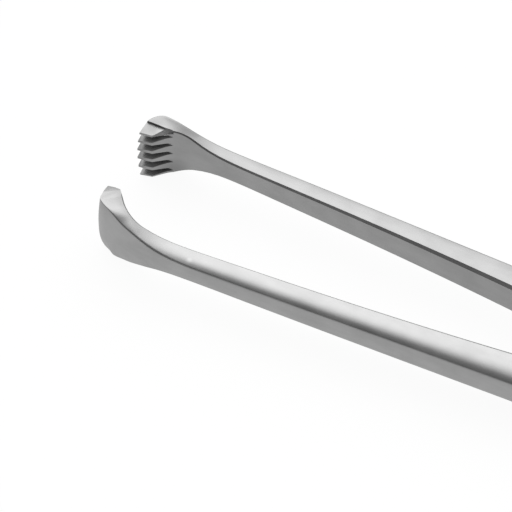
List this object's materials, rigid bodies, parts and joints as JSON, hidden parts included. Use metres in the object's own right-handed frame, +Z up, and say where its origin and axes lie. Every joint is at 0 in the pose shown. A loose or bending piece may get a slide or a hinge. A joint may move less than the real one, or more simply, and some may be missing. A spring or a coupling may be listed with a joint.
{
  "type": "allis tissue forceps",
  "caption": "Ring-handled grasping forceps with hooked, flared jaws that end in interlocking teeth, a box lock and a ratchet.",
  "frame": {"origin": "axis of the rivet, on the lower face of the box of the lock, which the instrument lies on", "axes": "+X along the middle line from the jaws to the finger rings, +Y towards the jaw with six teeth, +Z up along the rivet"},
  "size_m": [0.1543, 0.068, 0.0062],
  "materials": {
    "satin_steel": "satin stainless steel",
    "pin_steel": "finely ground stainless steel"
  },
  "bodies": {
    "female": {"female_half": "satin_steel", "pivot_pin": "pin_steel"},
    "male": {"male_half": "satin_steel"}
  },
  "joints": [
    {"name": "box_lock", "type": "hinge", "parent": "female", "child": "male", "pos_m": [0, 0, 0.0031], "axis": [0, 0, 1], "range_deg": [-5.3, 34.2]}
  ]
}
